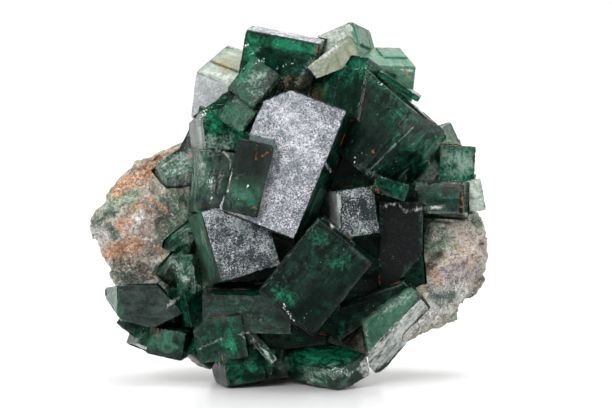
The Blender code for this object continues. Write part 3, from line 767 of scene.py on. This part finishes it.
# soft strokes on the front of the green crystals: corners and reach in mm, and how strong they are
greenStrokes = {
    "glow": [
        ((-8.9, 79.9), (6.6, 77.4), (6.4, 76), (-0.8, 77.2), (-7.3, 77.6), (-8.2, 74.5), (-9.3, 70.4),
         (-10.9, 70), (-9.6, 76.7), 1, 0.8),
        ((8.9, 73.6), (12.7, 74), (18.8, 72.9), (20.8, 70.9), (19.5, 69.3), (14.3, 70.7),
         (10.5, 71.1), 1, 0.55), ((19.5, 66.5), (26, 61), (24.5, 57.5), (19.5, 61), 3, 0.35),
        ((18.3, 70), (21.5, 69.8), (27.8, 64.8), (27.6, 63), (23.3, 65.7), 1.6, 0.5),
        ((-18.6, 64.4), (-9.8, 65.9), (-7.3, 61.4), (-9.6, 58.5), (-17.2, 58.1), 3, 0.5),
        ((1.5, 9.2), (12.7, 10.3), (14.3, 8.8), (9.3, 6.5), (2.6, 6.5), 2, 0.55),
        ((-6, 78), (2.5, 76.5), 1.2, 0.6), ((-1, 71), (2.5, 72.5), 2, 0.35),
        ((-18.8, 63.7), (-9.8, 65.5), 3, 0.5), ((-17.6, 60.5), (-8.6, 61.4), 2.4, 0.5),
        ((-8.6, 59), (-2.8, 55.2), 1.1, 1), ((-10.9, 59), (-13.2, 52.5), 1, 1),
        ((-9, 43), (-7.4, 41.3), 1.6, 0.9), ((-12.7, 46.1), (-11.3, 44.3), 1.4, 0.5),
        ((8.6, 73), (8, 66), 1.1, 0.6), ((21.7, 68.9), (21.9, 67), 1.8, 0.6),
        ((12.7, 54.2), (13.8, 49.7), 1.2, 0.45), ((10.5, 52), (11.6, 48.6), 1, 0.45),
        ((34, 56.5), (31, 49.8), 2, 0.85), ((26.2, 62.1), (33, 58.3), 1.6, 0.4),
        ((-3, 23.6), (0.3, 20.5), 3.4, 0.5), ((0.2, 21.4), (1, 19.6), 1.2, 0.9),
        ((6, 35.1), (9.3, 31.7), 4.4, 0.26), ((10.5, 28.6), (13.2, 29.5), 2.2, 0.55),
        ((8.2, 19.8), (11.1, 19.1), 1.4, 0.8), ((6.6, 18.2), (8.4, 14.6), 1, 0.8),
        ((10.5, 17.1), (11.6, 15.5), 1.8, 0.8), ((-14.3, 24.5), (-6, 24.1), 1.2, 0.8),
        ((-10.9, 20.5), (-10.5, 17.8), 1.5, 0.4), ((-13.6, 13.7), (-12.3, 9.2), 2.2, 0.8),
        ((-19.9, 13.7), (-15, 11.5), 2.4, 0.35), ((-11.4, 6.5), (-7.5, 5.2), 1.8, 0.7),
        ((2.6, 8.8), (6, 7.4), 2.4, 0.7), ((9.3, 10.4), (13.8, 12.6), 2.4, 0.45),
        ((17.2, 14.9), (18.8, 11.5), 2, 0.55), ((-40.2, 20.5), (-38.4, 18.2), 1.5, 0.7),
        ((-34.5, 14.2), (-31.2, 11.5), 2, 0.6), ((-27.8, 12.6), (-25.5, 10.4), 1.5, 0.6),
        ((32.6, 44.5), (39, 44), 1.5, 0.4), ((24, 48.5), (27.5, 46), 1.2, 0.4),
    ],
    "veil": [
        ((34.8, 54), (41.3, 53.6), (41.1, 48.6), (35.2, 48.6), 0.6, 0.75),
        ((-18.3, 57.4), (-12.7, 57.4), (-12.3, 53.1), (-18.1, 52.9), 1, 0.65),
        ((-8.2, 70.9), (-1, 70.4), (-0.8, 65.9), (-8.2, 65.5), 2, 0.5),
        ((-30, 52.4), (-19.9, 53.8), (-18.6, 47.9), (-23.1, 43.4), (-28.5, 46.1), 1.5, 0.9),
        ((3, 5.4), (12.7, 5.9), (12, 2.5), (3.9, 2), 1, 0.5), ((1.5, 68.9), (5.3, 74), 1.5, 0.55),
        ((-6.9, 76.7), (-4.2, 78.1), 1, 0.5), ((-8.6, 70), (-6, 66.6), 2.4, 0.6),
        ((-13.2, 64.8), (-10.9, 65.3), 0.8, 0.8), ((28, 59.2), (16.5, 47.9), 0.4, 0.8),
        ((28.5, 47.5), (31.8, 53.1), 2, 0.2), ((16.2, 50.8), (19, 48.5), 1.2, 0.8),
        ((-20.7, 54), (-21.2, 48), 0.7, 0.9), ((-11.4, 47.9), (-8.2, 49.3), 1.1, 0.4),
        ((-0.8, 31.7), (4.8, 37.4), 2.8, 0.25), ((-4.2, 22.7), (2.6, 29), 2.4, 0.25),
        ((-10.9, 18.2), (-6, 16.4), 1.8, 0.3), ((-20.7, 63.6), (-18.6, 60.6), 0.9, 0.9),
        ((-20, 59), (-19.8, 54.6), 0.9, 1), ((9.3, 5.9), (13.8, 4.3), 1.4, 0.8),
        ((20, 17.5), (28.5, 22.7), 1.8, 0.6), ((17.4, 15.2), (18.2, 8), 0.6, 1),
        ((-20.2, 9.6), (-14.6, 12.2), 0.5, 0.9), ((-40.5, 21.6), (-36.5, 23.2), 0.6, 0.8),
        ((34.5, 46.9), (41, 46.6), 0.6, 0.8), ((33, 57), (34, 55.5), 0.7, 0.8),
        ((-30, 48.5), (-26, 46), 3.5, 1.2), ((-25.5, 38), (-21.5, 33.5), 2.5, 1),
        ((-27, 31), (-23.5, 26), 2.5, 0.8), ((-19.5, 36), (-16, 25), 1.5, 0.4),
        ((-22, 28.5), (-21, 24.5), 1.2, 1.1),
    ],
    "chalk": [
        ((31.8, 22.7), (34.5, 20.5), (26.2, 10.8), (17.4, 3.4), (15.6, 5.2), (18.1, 8.6), 0.9, 0.92),
        ((-29, 51.5), (-20.5, 53), (-19.5, 48.5), (-24, 45.5), 1.5, 0.5),
        # painted light: the narrow etched facet by the branching one lies in shadow and is painted pale
        ((9.3, 44.8), (11.6, 43.9), (11.1, 38), (9.6, 36.7), 0.5, 1),
        ((20.8, 41.6), (24.2, 42.3), 0.8, 0.75), ((24.2, 42.3), (26, 40.5), 0.7, 0.75),
        ((26, 40.5), (34.1, 41.4), 0.8, 0.75),
        ((-10.9, 13.1), (-9.1, 13.5), (-0.8, 6.1), (-1.9, 5.2), 0.7, 0.45),
        ((-17.2, 50.2), (-15, 48.4), (-15.9, 45.2), (-18.6, 46.6), 1.6, 0.36),
        ((-14.5, 53.8), (-12.9, 52), 0.5, 0.9), ((-12.9, 52), (-12.7, 48.4), 0.5, 0.9),
        ((-12.7, 48.4), (-13.6, 44.8), 0.5, 0.8), ((-26.9, 19.4), (-24.9, 20.9), 0.8, 1),
        ((-22.8, 25.4), (-18.8, 23.2), 1.4, 0.7),
    ],
    "film": [
        ((-11.5, 46), (-5.4, 46.4), (-5, 43), (-10.8, 43.2), 4.5, 0.55),
        ((-35.7, 13.7), (-24.4, 13.7), (-25.3, 9.2), (-33.4, 8.8), 2, 0.45),
        ((2.6, 5.6), (13.4, 6.5), (12.7, 2), (3, 1.6), 1.5, 0.5),
        ((16.8, 16), (27.3, 23.6), (29.8, 22.5), (19.7, 11.5), (18.1, 8.3), 0.8, 1),
        ((31.2, 56.2), (34.1, 55.1), (33.6, 52.9), (31.4, 50.2), (30.5, 52), 0.8, 0.7),
        ((26.2, 59.9), (30.7, 56.5), (29.1, 53.8), (24.6, 56.5), 2.5, 0.35),
        ((-40.6, 22.7), (-37.9, 20.5), (-36.6, 15.5), (-39.3, 17.3), 1, 0.7),
        ((-6, 12.6), (-0.8, 9.2), (0.3, 4.7), (-4.2, 6.5), 1, 0.6),
        ((-22.6, 34.4), (-19.9, 35.8), (-16.5, 27.2), (-18.8, 24.5), 1, 0.6),
        ((-30, 52), (-18.8, 54.2), (-17.7, 47.5), (-23.3, 43), (-27.8, 45.2), 2, 0.8),
        ((-24.9, 41.9), (-19.9, 41.9), (-18.8, 22.7), (-23.3, 22.7), 2, 0.6),
    ],
    "olive": [
        ((-0.6, 70), (6.6, 70.4), (7.5, 65.5), (0.8, 64.8), 2.4, 0.62), ((10, 75), (8, 71), 0.8, 0.5),
        ((18, 46), (20.5, 43.5), 0.8, 0.5),
    ],
    "shade": [
        ((15.2, 71), (14.3, 59.9), 0.9, 1.3),
        ((-6.9, 39.6), (-0.8, 45.2), (4.4, 44.8), (1.2, 34.9), (-6, 37.1), 4, 0.4),
        ((7.5, 64.8), (12.9, 62.8), (11.1, 54.2), (7.5, 56.5), 4, 0.45),
        ((8.4, 52), (10, 52.4), (9.8, 49.5), (8.2, 49.3), 1, 1.3),
        ((1.7, 50.9), (5.3, 52), (4.4, 48.4), 1.5, 0.45),
        ((1.7, 18.6), (9.8, 21.4), (12.9, 19.4), (7.5, 12.1), (2.6, 14.5), 2.5, 1.1),
        ((10.7, 67.3), (18.8, 66.6), (22.5, 59.7), (18.5, 50.9), (12.7, 50.9), (11.1, 58.7), 3, 0.6),
        ((12, 57.6), (18.8, 56.5), (17.2, 49.7), (12.7, 48.6), 2, 0.9),
        ((-11.1, 54.2), (-6, 54.2), (-6, 46.6), (-10.7, 47), 3, 0.6), ((-5.5, 75.5), (2.6, 74.2), 2.4, 0.5),
        ((12.5, 62.5), (22, 60), 4.5, 0.45), ((14, 58), (18, 50), 2.5, 0.5),
        ((-10.4, 57), (-9.5, 51), 2.4, 0.5), ((15.5, 26.5), (19, 25), 3, 0.9), ((5, 23), (12, 22), 3, 0.8),
        ((-2, 17), (6, 14.5), 2.5, 0.8), ((1.5, 38), (7.5, 50), 1.4, 0.8), ((16.5, 42), (21, 30), 1.6, 0.8),
        ((12, 17.5), (24, 25.5), 2, 0.7), ((-9, 3.5), (3, 4), 1.6, 0.8), ((-22.5, 20), (-19, 14), 1.6, 0.6),
    ],
    "rust": [
        ((33.2, 55.8), (40.8, 54.9), 0.3, 0.9), ((41.3, 54.2), (41.1, 50.8), 0.3, 0.9),
        ((6.6, 78.2), (6.2, 75.8), 0.6, 1.2), ((-0.3, 70), (-0.8, 67.7), 0.6, 0.9),
        ((-0.2, 70.2), (2.6, 70.4), 0.4, 0.9), ((-6.9, 55.4), (-7.2, 51.5), 0.35, 0.9),
        ((-7.2, 52), (-3.2, 54.2), 0.35, 0.9), ((18.4, 54), (18.9, 53.3), 0.38, 1.2),
        ((20.1, 26.1), (20.4, 24), 0.38, 1.3), ((19.2, 46.4), (20.3, 43.6), 0.4, 0.9),
        ((-8.3, 41.3), (-6.8, 41), 0.38, 1), ((6.8, 65.1), (7.1, 64.4), 0.38, 1.2),
        ((34.2, 55.8), (35.4, 52.4), 0.38, 1), ((38.9, 46.6), (39.2, 39.8), 0.38, 1.1),
        ((39.4, 39.8), (43, 39.9), 0.38, 1), ((-23.6, 46.6), (-24.3, 42), 0.38, 1),
        ((-24, 41.2), (-18.5, 41.4), 0.4, 0.9), ((-29.2, 14.4), (-29.6, 12.2), 0.38, 1.1),
    ],
    "sparkle": [
        ((-9.6, 78), (-9, 77), 0.8, 1), ((-8.7, 75.2), (-7.6, 76), 0.7, 1),
        ((-10.6, 71.6), (-9.7, 72.2), 0.5, 1), ((-6.8, 73.8), (-5.6, 74.4), 0.8, 1),
        ((-3, 72.5), (2, 74), 0.6, 0.8), ((-19.8, 61.2), (-18.2, 63.2), 1.2, 1),
        ((12.2, 73.2), (12.8, 73), 0.6, 1.2), ((14.9, 72.2), (17.4, 72.6), 0.8, 0.9),
        ((20.5, 69.1), (21.5, 69.1), 0.8, 1.1), ((31.4, 51.8), (32, 50.2), 0.9, 0.9),
        ((-1.2, 19.8), (0.8, 16.4), 1, 0.9), ((-17.6, 48.6), (-17.2, 43), 0.9, 0.9),
        ((-10.2, 58.6), (-7.6, 57.4), 1, 0.9), ((8.2, 51.3), (9.6, 49.2), 0.8, 1),
        ((9, 5.6), (13.8, 4.6), 1.4, 0.8), ((-8.8, 46.4), (-8.6, 44.5), 0.5, 0.8),
        ((14.5, 53), (15, 49), 0.8, 0.6),
    ],
}

# and those on the paler ones
paleStrokes = {
    "glow": [
        ((-18.8, 73.1), (-15, 71.8), 1, 0.25),
        ((18.8, 72.2), (28.2, 72.2), (28.2, 65.5), (24.2, 65.7), (18.8, 70), 1, 0.8),
        ((15.4, 73.8), (17.4, 72.2), 1.5, 0.7), ((39, 46.1), (42.2, 45.2), (42.2, 42.5), (39, 43), 2, 0.4),
    ],
    "film": [
        ((-17.7, 74), (-11.4, 75.8), (-10.9, 71.8), (-16.8, 71.3), 2, 0.3),
        ((16.1, 76.3), (24.6, 76.7), (27.8, 73.6), (16.5, 72.7), 1, 0.9),
        ((14.3, 82.1), (17.9, 81.2), (19.7, 76.3), (16.1, 75.8), 1, 0.85),
        ((19.5, 74), (29, 73), (29.5, 69), (20, 69.5), 1.5, 0.7),
        ((-20.8, 62.8), (-18.6, 62.8), (-19, 58.7), (-20.8, 59.2), 1.5, 0.6),
        ((35, 59.2), (37.7, 60.1), (39, 55.1), (36.3, 54.2), 2, 0.4),
    ],
    "veil": [
        ((2.6, 77.6), (12.9, 83.5), (13.8, 81.7), (10.2, 78.1), (3.7, 72.2), 1, 1),
        ((2.6, 72.2), (9.3, 76.3), (6.6, 70.4), 2, 0.4),
        ((39, 47.5), (42.6, 47.5), (44.4, 40.3), (39.5, 40.3), 2, 0.6),
    ],
    "chalk": [
        ((7.1, 76.7), (12.3, 79.4), (12.9, 78.5), (8, 75.6), 0.8, 0.6),
        ((19.7, 72.9), (27.8, 72), 0.5, 0.6), ((-18.1, 71.8), (-10.9, 70.4), 0.8, 0.6),
    ],
    "olive": [
        ((-16.3, 74.5), (-11, 75.4), (-11.2, 72.4), (-14.6, 71.8), 1.2, 0.75),
        ((6, 73.4), (9, 74.4), 0.8, 0.4),
    ],
    "shade": [
        ((10.7, 75.4), (11.8, 72.2), 0.6, 0.6), ((9.3, 74), (8.4, 71.3), 0.6, 0.5),
        ((-15, 75.4), (-10.9, 74), (-12.7, 72.2), 1.6, 0.45), ((12.7, 77.2), (14.3, 74.5), 0.8, 0.5),
        ((16.8, 80.8), (19, 76.7), 1, 0.5), ((-13.6, 74.9), (-11.4, 73.1), (-14.1, 72.2), 2, 0.3),
    ],
    "rust": [
        ((-15.4, 74.9), (-11.4, 74.5), (-11.8, 73.1), (-14.1, 72.2), 1.6, 0.35),
        ((-15, 74.5), (-12.7, 73.1), 0.8, 0.5), ((26.2, 72.2), (27.3, 70.4), 0.5, 0.9),
        ((39.9, 47.5), (41.7, 47.9), 0.5, 0.9), ((6, 77.6), (6.9, 76.7), 0.5, 0.9),
    ],
    "sparkle": [
        ((15.2, 74.5), (16.5, 72.7), 1, 0.9), ((21.5, 68.2), (23.3, 66.8), 0.8, 0.8),
    ],
}

paleCrystals = {
    "pale_crystals_left": {
        "usual": {"seed": 3, "cloud": (0.3, 0.9), "core": (0.6, 0.9), "frost": 0.6, "frostShare": 0.0},
        "marks": [(-17.2, 66.5, {"frost": 0.97}), (-14.5, 74.0, {"cloud": 0.7, "core": 0.9}),
                  (-21.5, 60.0, {"cloud": 0.9}), (-11.5, 74.5, {"cloud": 0.6, "core": 0.9})],
    },
    "pale_crystals_top": {
        "usual": {"seed": 5, "cloud": (0.1, 0.8), "core": (0.6, 0.9), "frost": 0.6, "frostShare": 0.0},
        "marks": [(8.2, 78.6, {"cloud": 1.0, "core": 0.9}), (17.5, 78.0, {"cloud": -0.1, "core": 0.95}),
                  (10.8, 74.8, {"haze": 0.95, "soot": 0.15}), (22.0, 76.2, {"cloud": 0.2, "core": 0.95}),
                  (26.8, 72.6, {"cloud": -0.2, "core": 0.9})],
    },
    "pale_crystals_right": {
        "usual": {"seed": 9, "cloud": (0.3, 0.8), "core": (0.5, 0.8), "frost": 0.6, "frostShare": 0.0},
        "marks": [(42.6, 45.0, {"cloud": 1.0, "core": 0.9}), (35.5, 58.0, {"cloud": 0.8})],
    },
}

paleSkin = {
    "lengths": {"frosted": 0.42, "marked": 0.45, "plain": 0.8, "buried": 3.0, "front": -20.0},
    "relief": {"tread": 0.06, "sway": 0.08, "pits": 0.14, "sink": 0.10, "leastArea": 3.0,
               "chipRate": 0.9, "chipShare": 0.12, "chipDepth": 0.7},
}


buriedReach = 0.6    # a crystal's skin this close to the rock stays coarse, mm


def nearTo(node, reach):
    # tells whether a point is closer to a node than reach, in mm
    tree = BVHTree.FromBMesh(mergedCopy(node))

    def near(point):
        return tree.find_nearest(point, reach * mm)[0] is not None
    return near


# the rusty rock that the crystals stand on
rock = {
    "longest": 0.8,                    # longest edge before the relief, mm
    "rounds": 8,                       # how often long edges are cut in half
    "cells": ((6.0, 0.8), (2.4, 0.42)),     # size of the broken facets and how far they tilt, mm
    "rough": ((0.35, 0.35), (1.3, 0.16)),   # bumps: how many per mm, how high in mm
    "lean": 2.2,                       # how far a facet leans, in tilts
    "step": 0.8,                       # and how far it stands in or out
    "facetSeeds": (3.7, 5.1),          # set the lean and the step of one facet apart from the next
    "stainShift": 13.0,                # sets the noise of one stain apart from the next, mm
    "patchShift": 9.7,                 # and its patches on the back
    "bare": 0.4,                       # no relief closer than this to a crystal, mm
    "clear": 1.4,                      # and all of it from here on, mm
    "rises": 2.0,                      # height over the floor from which there is all of it, mm
    "base": 0.6,                       # nothing is smoothed lower than this, mm
    "smoothing": 0.3,
    "flat": 0.2,                       # gentler edges than this may be turned while cutting, radians
    "sharp": 24,                       # steeper ones are drawn sharp, degrees
    "sink": 0.35,                      # how far the skin is drawn in, mm
    "proud": 0.25,                     # nothing stands out further than this, mm
    "turns": 12.0,                     # how far behind the front view's zero the front ends, mm
    "fades": 6.0,                      # and over how much it gives way, mm
    "patches": 0.13,                   # how close the patches of the back are, per mm
    "patchy": (1.5, 0.15),             # how strong they are, and what is taken off
}

# what colours the rock: corners and reach in mm, and how strong it is
stains = {
    "green": [
        ((-26.7, 44.1), (-20, 44.1), (-20, 30.6), (-27.9, 31.7), 1.6, 0.8),
        ((-42.4, 43), (-34.5, 44.1), 4.5, 0.8), ((30.7, 39.6), (36.3, 37.4), 3.5, 0.8),
        ((32.3, 31.7), (35.9, 33.5), 3, 1), ((36.8, 38.9), (42.6, 38), 2.4, 0.8),
        ((37.5, 16.4), (36.3, 14.9), 2.2, 1), ((-28, 34), (-25, 28), 3, 0.7),
    ],
    "cream": [
        ((37.5, 37.4), (44.2, 31.7), 4.5, 1), ((34.1, 27.2), (40.8, 30.6), 4, 0.9),
        ((-44, 33), (-40, 27), 3, 0.6),
    ],
    "pink": [
        ((-31.8, 43), (-28.9, 37.4), 3.4, 1), ((-32.3, 37.4), (-31.2, 31.7), 3.4, 0.9),
        ((-35.5, 31.7), (-32.3, 28.3), 3, 0.5), ((37, 24), (33, 26), 3, 0.5),
    ],
    "mauve": [
        ((35.2, 26.1), (39.7, 29), 2.4, 0.9), ((37.5, 24.5), (42, 27.2), 2.2, 0.9),
        ((27, 13.5), (31, 17.5), 2.4, 0.7),
    ],
    "white": [
        ((-31.4, 44.1), (-27.8, 41.4), 1, 1.2), ((-37.9, 34), (-33.4, 39.6), 1.7, 0.9),
        ((-44.2, 36.7), (-39.7, 34.4), 1.5, 0.9), ((-43.1, 34), (-41.3, 27.7), 2, 0.8),
        ((-33.4, 25.4), (-30, 29), 1.4, 0.9), ((-24, 22.3), (-21.7, 24.1), 1.2, 1.1),
        ((25, 13.9), (38, 22.3), 4.5, 0.9), ((21.7, 42.5), (37.5, 40), 1.2, 1.1),
        ((20, 9.5), (29, 18.5), 1.6, 1.1), ((-36, 49), (-31, 46), 1.5, 0.5),
    ],
    "dark": [
        ((-28.9, 43), (-19.9, 43), (-19.9, 34), (-28.9, 34), 2, 0.6), ((-43.3, 38), (-39.7, 40.3), 2.2, 1),
        ((-40.6, 37.4), (-38.4, 34.4), 2, 1), ((-39.7, 26.8), (-33.4, 23.9), 2.8, 0.9),
        ((-31.2, 34), (-25.5, 31.7), 2.2, 0.6), ((-27.8, 23.9), (-21, 20.5), 2.8, 0.9),
        ((30.7, 35.8), (36.3, 35.8), 2.2, 0.7), ((32.3, 21.4), (36.8, 21.4), 1.8, 1),
        ((31, 23.5), (34, 19.5), 1.4, 0.8), ((29, 27.5), (31, 34), 1.6, 0.8),
    ],
    "brown": [
        ((-35.7, 49), (-28.9, 51.3), 1.3, 0.9), ((-37.9, 29), (-32.3, 26.8), 3.2, 0.8),
        ((31.8, 28.4), (34.1, 30.6), 2, 0.8), ((27.3, 16.4), (29.6, 19.4), 2.2, 1),
        ((20.1, 7.4), (29.6, 11.9), 1.1, 1.2), ((40.5, 20.5), (43.5, 25), 1.4, 0.8),
    ],
    "rust": [
        ((-39, 45.2), (-23.3, 54.2), 3, 1), ((-38.4, 45.7), (-31.2, 49.3), 3.2, 1),
        ((-38.6, 37.4), (-35.2, 38), 1.6, 0.9), ((-36.1, 39.6), (-33.4, 42.3), 1.3, 0.8),
        ((-40.6, 30.8), (-34.5, 32.9), 3, 1), ((-36.8, 35.8), (-35.2, 33.3), 1.6, 0.9),
        ((-29.4, 32.9), (-28.2, 30.6), 0.9, 0.9), ((-31, 43.6), (-27.2, 40.3), 0.8, 1.1),
        ((32.5, 26.8), (33.4, 25), 0.7, 0.9), ((36.8, 33.3), (38.9, 31.2), 0.5, 0.9),
        ((39.4, 31), (41.3, 29.9), 0.6, 0.7), ((39, 29), (40.8, 27.7), 0.6, 0.8),
    ],
}

rockColours = {
    "base": (0.30, 0.27, 0.20),
    "pale": (0.58, 0.55, 0.46),
    "green": ((0.120, 0.200, 0.130), (0.360, 0.450, 0.330)),
    "cream": ((0.520, 0.420, 0.350), (0.760, 0.660, 0.580)),
    "pink": ((0.170, 0.110, 0.095), (0.400, 0.290, 0.260)),
    "mauve": ((0.160, 0.120, 0.130), (0.480, 0.420, 0.430)),
    "white": ((0.380, 0.380, 0.370), (0.830, 0.820, 0.800)),
    "dark": ((0.008, 0.024, 0.016), (0.075, 0.145, 0.105)),
    "brown": ((0.020, 0.015, 0.011), (0.120, 0.095, 0.060)),
    "rust": ((0.250, 0.090, 0.038), (0.720, 0.390, 0.210)),
    "shadow": (0.055, 0.070, 0.052),
    "crust": (0.760, 0.740, 0.690),
    "pit": (0.040, 0.035, 0.030),
    "glint": (0.86, 0.88, 0.88),
}


def rockMaterial():
    material, tree, shader = newMaterial("rustyRock")
    place = inMillimetres(tree)
    blend = partial(blendColours, tree)
    mottled = partial(mottle, tree, place)
    medium = mottled(1.8, 5.0, 0.65, 0.8)
    fine = mottled(0.45, 3.0, 0.7)
    crumbs = mottled(0.8, 4.0, 0.75, 0.4)
    colour = blend(between(medium, 0.40, 0.62), rockColours["base"], rockColours["pale"])
    tint = between(crumbs, 0.42, 0.58)
    for index, kind in enumerate(stains):
        shift = (index * rock["stainShift"], 0, 0)
        elsewhere = addNode(tree, "Mapping", {"Vector": place, "Location": shift}).outputs[0]
        ragged = mottle(tree, elsewhere, 2.2, 5.0, 0.7, 0.8) * 2.0 + crumbs * 1.6
        laid = mark(tree, kind)
        uneven = (ragged - 1.8) * between(laid, 0.0, 0.25)
        amount = between(laid + uneven, 0.15, 0.75, 0.0, 0.92)
        colour = blend(amount, colour, blend(tint, *rockColours[kind]))

    # broken ground, cracks between warped cells, pits and grains
    broken = mottled(1.5, 6.0, 0.78, 1.2)
    sway = addNode(tree, "TexNoise", {"Vector": place, "Scale": 0.5}).outputs["Color"]
    bent = addNode(tree, "VectorMath", {0: sway, 1: (2.5, 2.5, 2.5), 2: place}, operation="MULTIPLY_ADD")
    cells = addNode(tree, "TexVoronoi", {"Vector": bent.outputs[0], "Scale": 0.42},
                    feature="DISTANCE_TO_EDGE")
    cracks = (between(nodeValue(cells.outputs["Distance"]), 0.07, 0.0)
              * between(medium, 0.46, 0.60, 0.0, 0.8))
    # painted glints: white highlights painted on the grains, which are also less rough there
    glints = between(fine, 0.61, 0.66, 0.0, 0.8)
    layers = [(between(broken, 0.45, 0.37, 0.0, 0.72), "shadow"),
              (between(broken, 0.55, 0.64, 0.0, 0.65), "crust"), (cracks, "pit"),
              (between(fine, 0.41, 0.36, 0.0, 0.85), "pit"), (glints, "glint")]
    for amount, kind in layers:
        colour = blend(amount, colour, rockColours[kind])
    plug(colour, shader.inputs["Base Color"])
    plug(between(medium, 0.35, 0.7, 0.55, 0.9) - glints * 0.35, shader.inputs["Roughness"])
    height = medium + fine * 0.6 - cracks * 0.25
    bump = addNode(tree, "Bump", {"Strength": 1.0, "Distance": 0.0006, "Height": height})
    plug(bump.outputs[0], shader.inputs["Normal"])
    return material


def facetHeight(place, size, tilt):
    # every cell of the rock breaks along a plane of its own
    centre = noise.voronoi(place / size)[1][0]
    leanSeed, stepSeed = rock["facetSeeds"]
    lean = noise.noise_vector(centre * leanSeed)
    return ((place / size - centre).dot(lean) * tilt * rock["lean"]
            + noise.cell(centre * stepSeed) * tilt * rock["step"])


def buildRock(material):
    bm = mergedCopy("matrix")
    for turn in range(rock["rounds"]):
        long = [edge for edge in bm.edges if edge.calc_length() > rock["longest"] * mm]
        if not long:
            break
        bmesh.ops.subdivide_edges(bm, edges=long, cuts=1)
        triangulate(bm)
        gentle = [edge for edge in bm.edges
                  if len(edge.link_faces) == 2 and edge.calc_face_angle() < rock["flat"]]
        bmesh.ops.beautify_fill(bm, faces=bm.faces[:], edges=gentle)
    dissolveSlivers(bm)
    loose = [vert for vert in bm.verts if vert.co.z > rock["base"] * mm]
    bmesh.ops.smooth_vert(bm, verts=loose, factor=rock["smoothing"],
                          use_axis_x=True, use_axis_y=True, use_axis_z=True)
    bm.normal_update()
    crystals = [BVHTree.FromBMesh(mergedCopy(node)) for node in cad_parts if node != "matrix"]
    moves = []
    for vert in bm.verts:
        place = vert.co / mm
        height = -rock["sink"]
        for size, tilt in rock["cells"]:
            height += facetHeight(place, size, tilt)
        for rate, high in rock["rough"]:
            height += noise.noise(place * rate) * high
        height = min(height, rock["proud"])
        free = min(1.0, max(0.0, place.z / rock["rises"]))
        for tree in crystals:
            distance = tree.find_nearest(vert.co, rock["clear"] * mm)[3]
            if distance is not None:
                free = min(free, max(0.0, distance / mm - rock["bare"]) / (rock["clear"] - rock["bare"]))
        moves.append(vert.normal * height * free * mm)
    for vert, shift in zip(bm.verts, moves):
        vert.co += shift
    # on the front the stains lie where they are laid, and behind they drift in slow patches
    stores = {kind: bm.verts.layers.float.new(kind) for kind in stains}
    table = strokeTable(stains)
    strong, less = rock["patchy"]
    for vert in bm.verts:
        place = frontPlace(vert.co)
        front = min(1.0, max(0.0, (place.z + rock["turns"]) / rock["fades"]))
        laid = strokesAt(table, place)
        for index, kind in enumerate(stains):
            apart = Vector((index * rock["patchShift"], 0, 0))
            patch = noise.noise(place * rock["patches"] + apart) * strong - less
            vert[stores[kind]] = laid.get(kind, 0.0) * front + max(0.0, patch) * (1.0 - front)
    for face in bm.faces:
        face.smooth = True
    thing = makePiece(bm, "matrixRock", material, rock["sharp"])
    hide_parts("matrix")
    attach(thing, "root")


bpy.context.scene.view_settings.view_transform = "Standard"
makeCamera()
makeLights()
makeSky()
makeFloor()
print("studio ready")

nearRock = nearTo("matrix", buriedReach)
deepGreen, greenTable = crystalMaterial("deepGreenCrystal", greenGlass), strokeTable(greenStrokes)
paleGreen, paleTable = crystalMaterial("paleGreenCrystal", paleGlass), strokeTable(paleStrokes)
print("crystal looks ready")
buildCrystal("green_crystals", "greenCrystals", deepGreen, greenCrystals,
             nearRock, greenTable)
for node, look in paleCrystals.items():
    words = node.split("_")
    name = words[0] + "".join(word.capitalize() for word in words[1:])
    buildCrystal(node, name, paleGreen, {**paleSkin, **look}, nearRock, paleTable)
buildRock(rockMaterial())
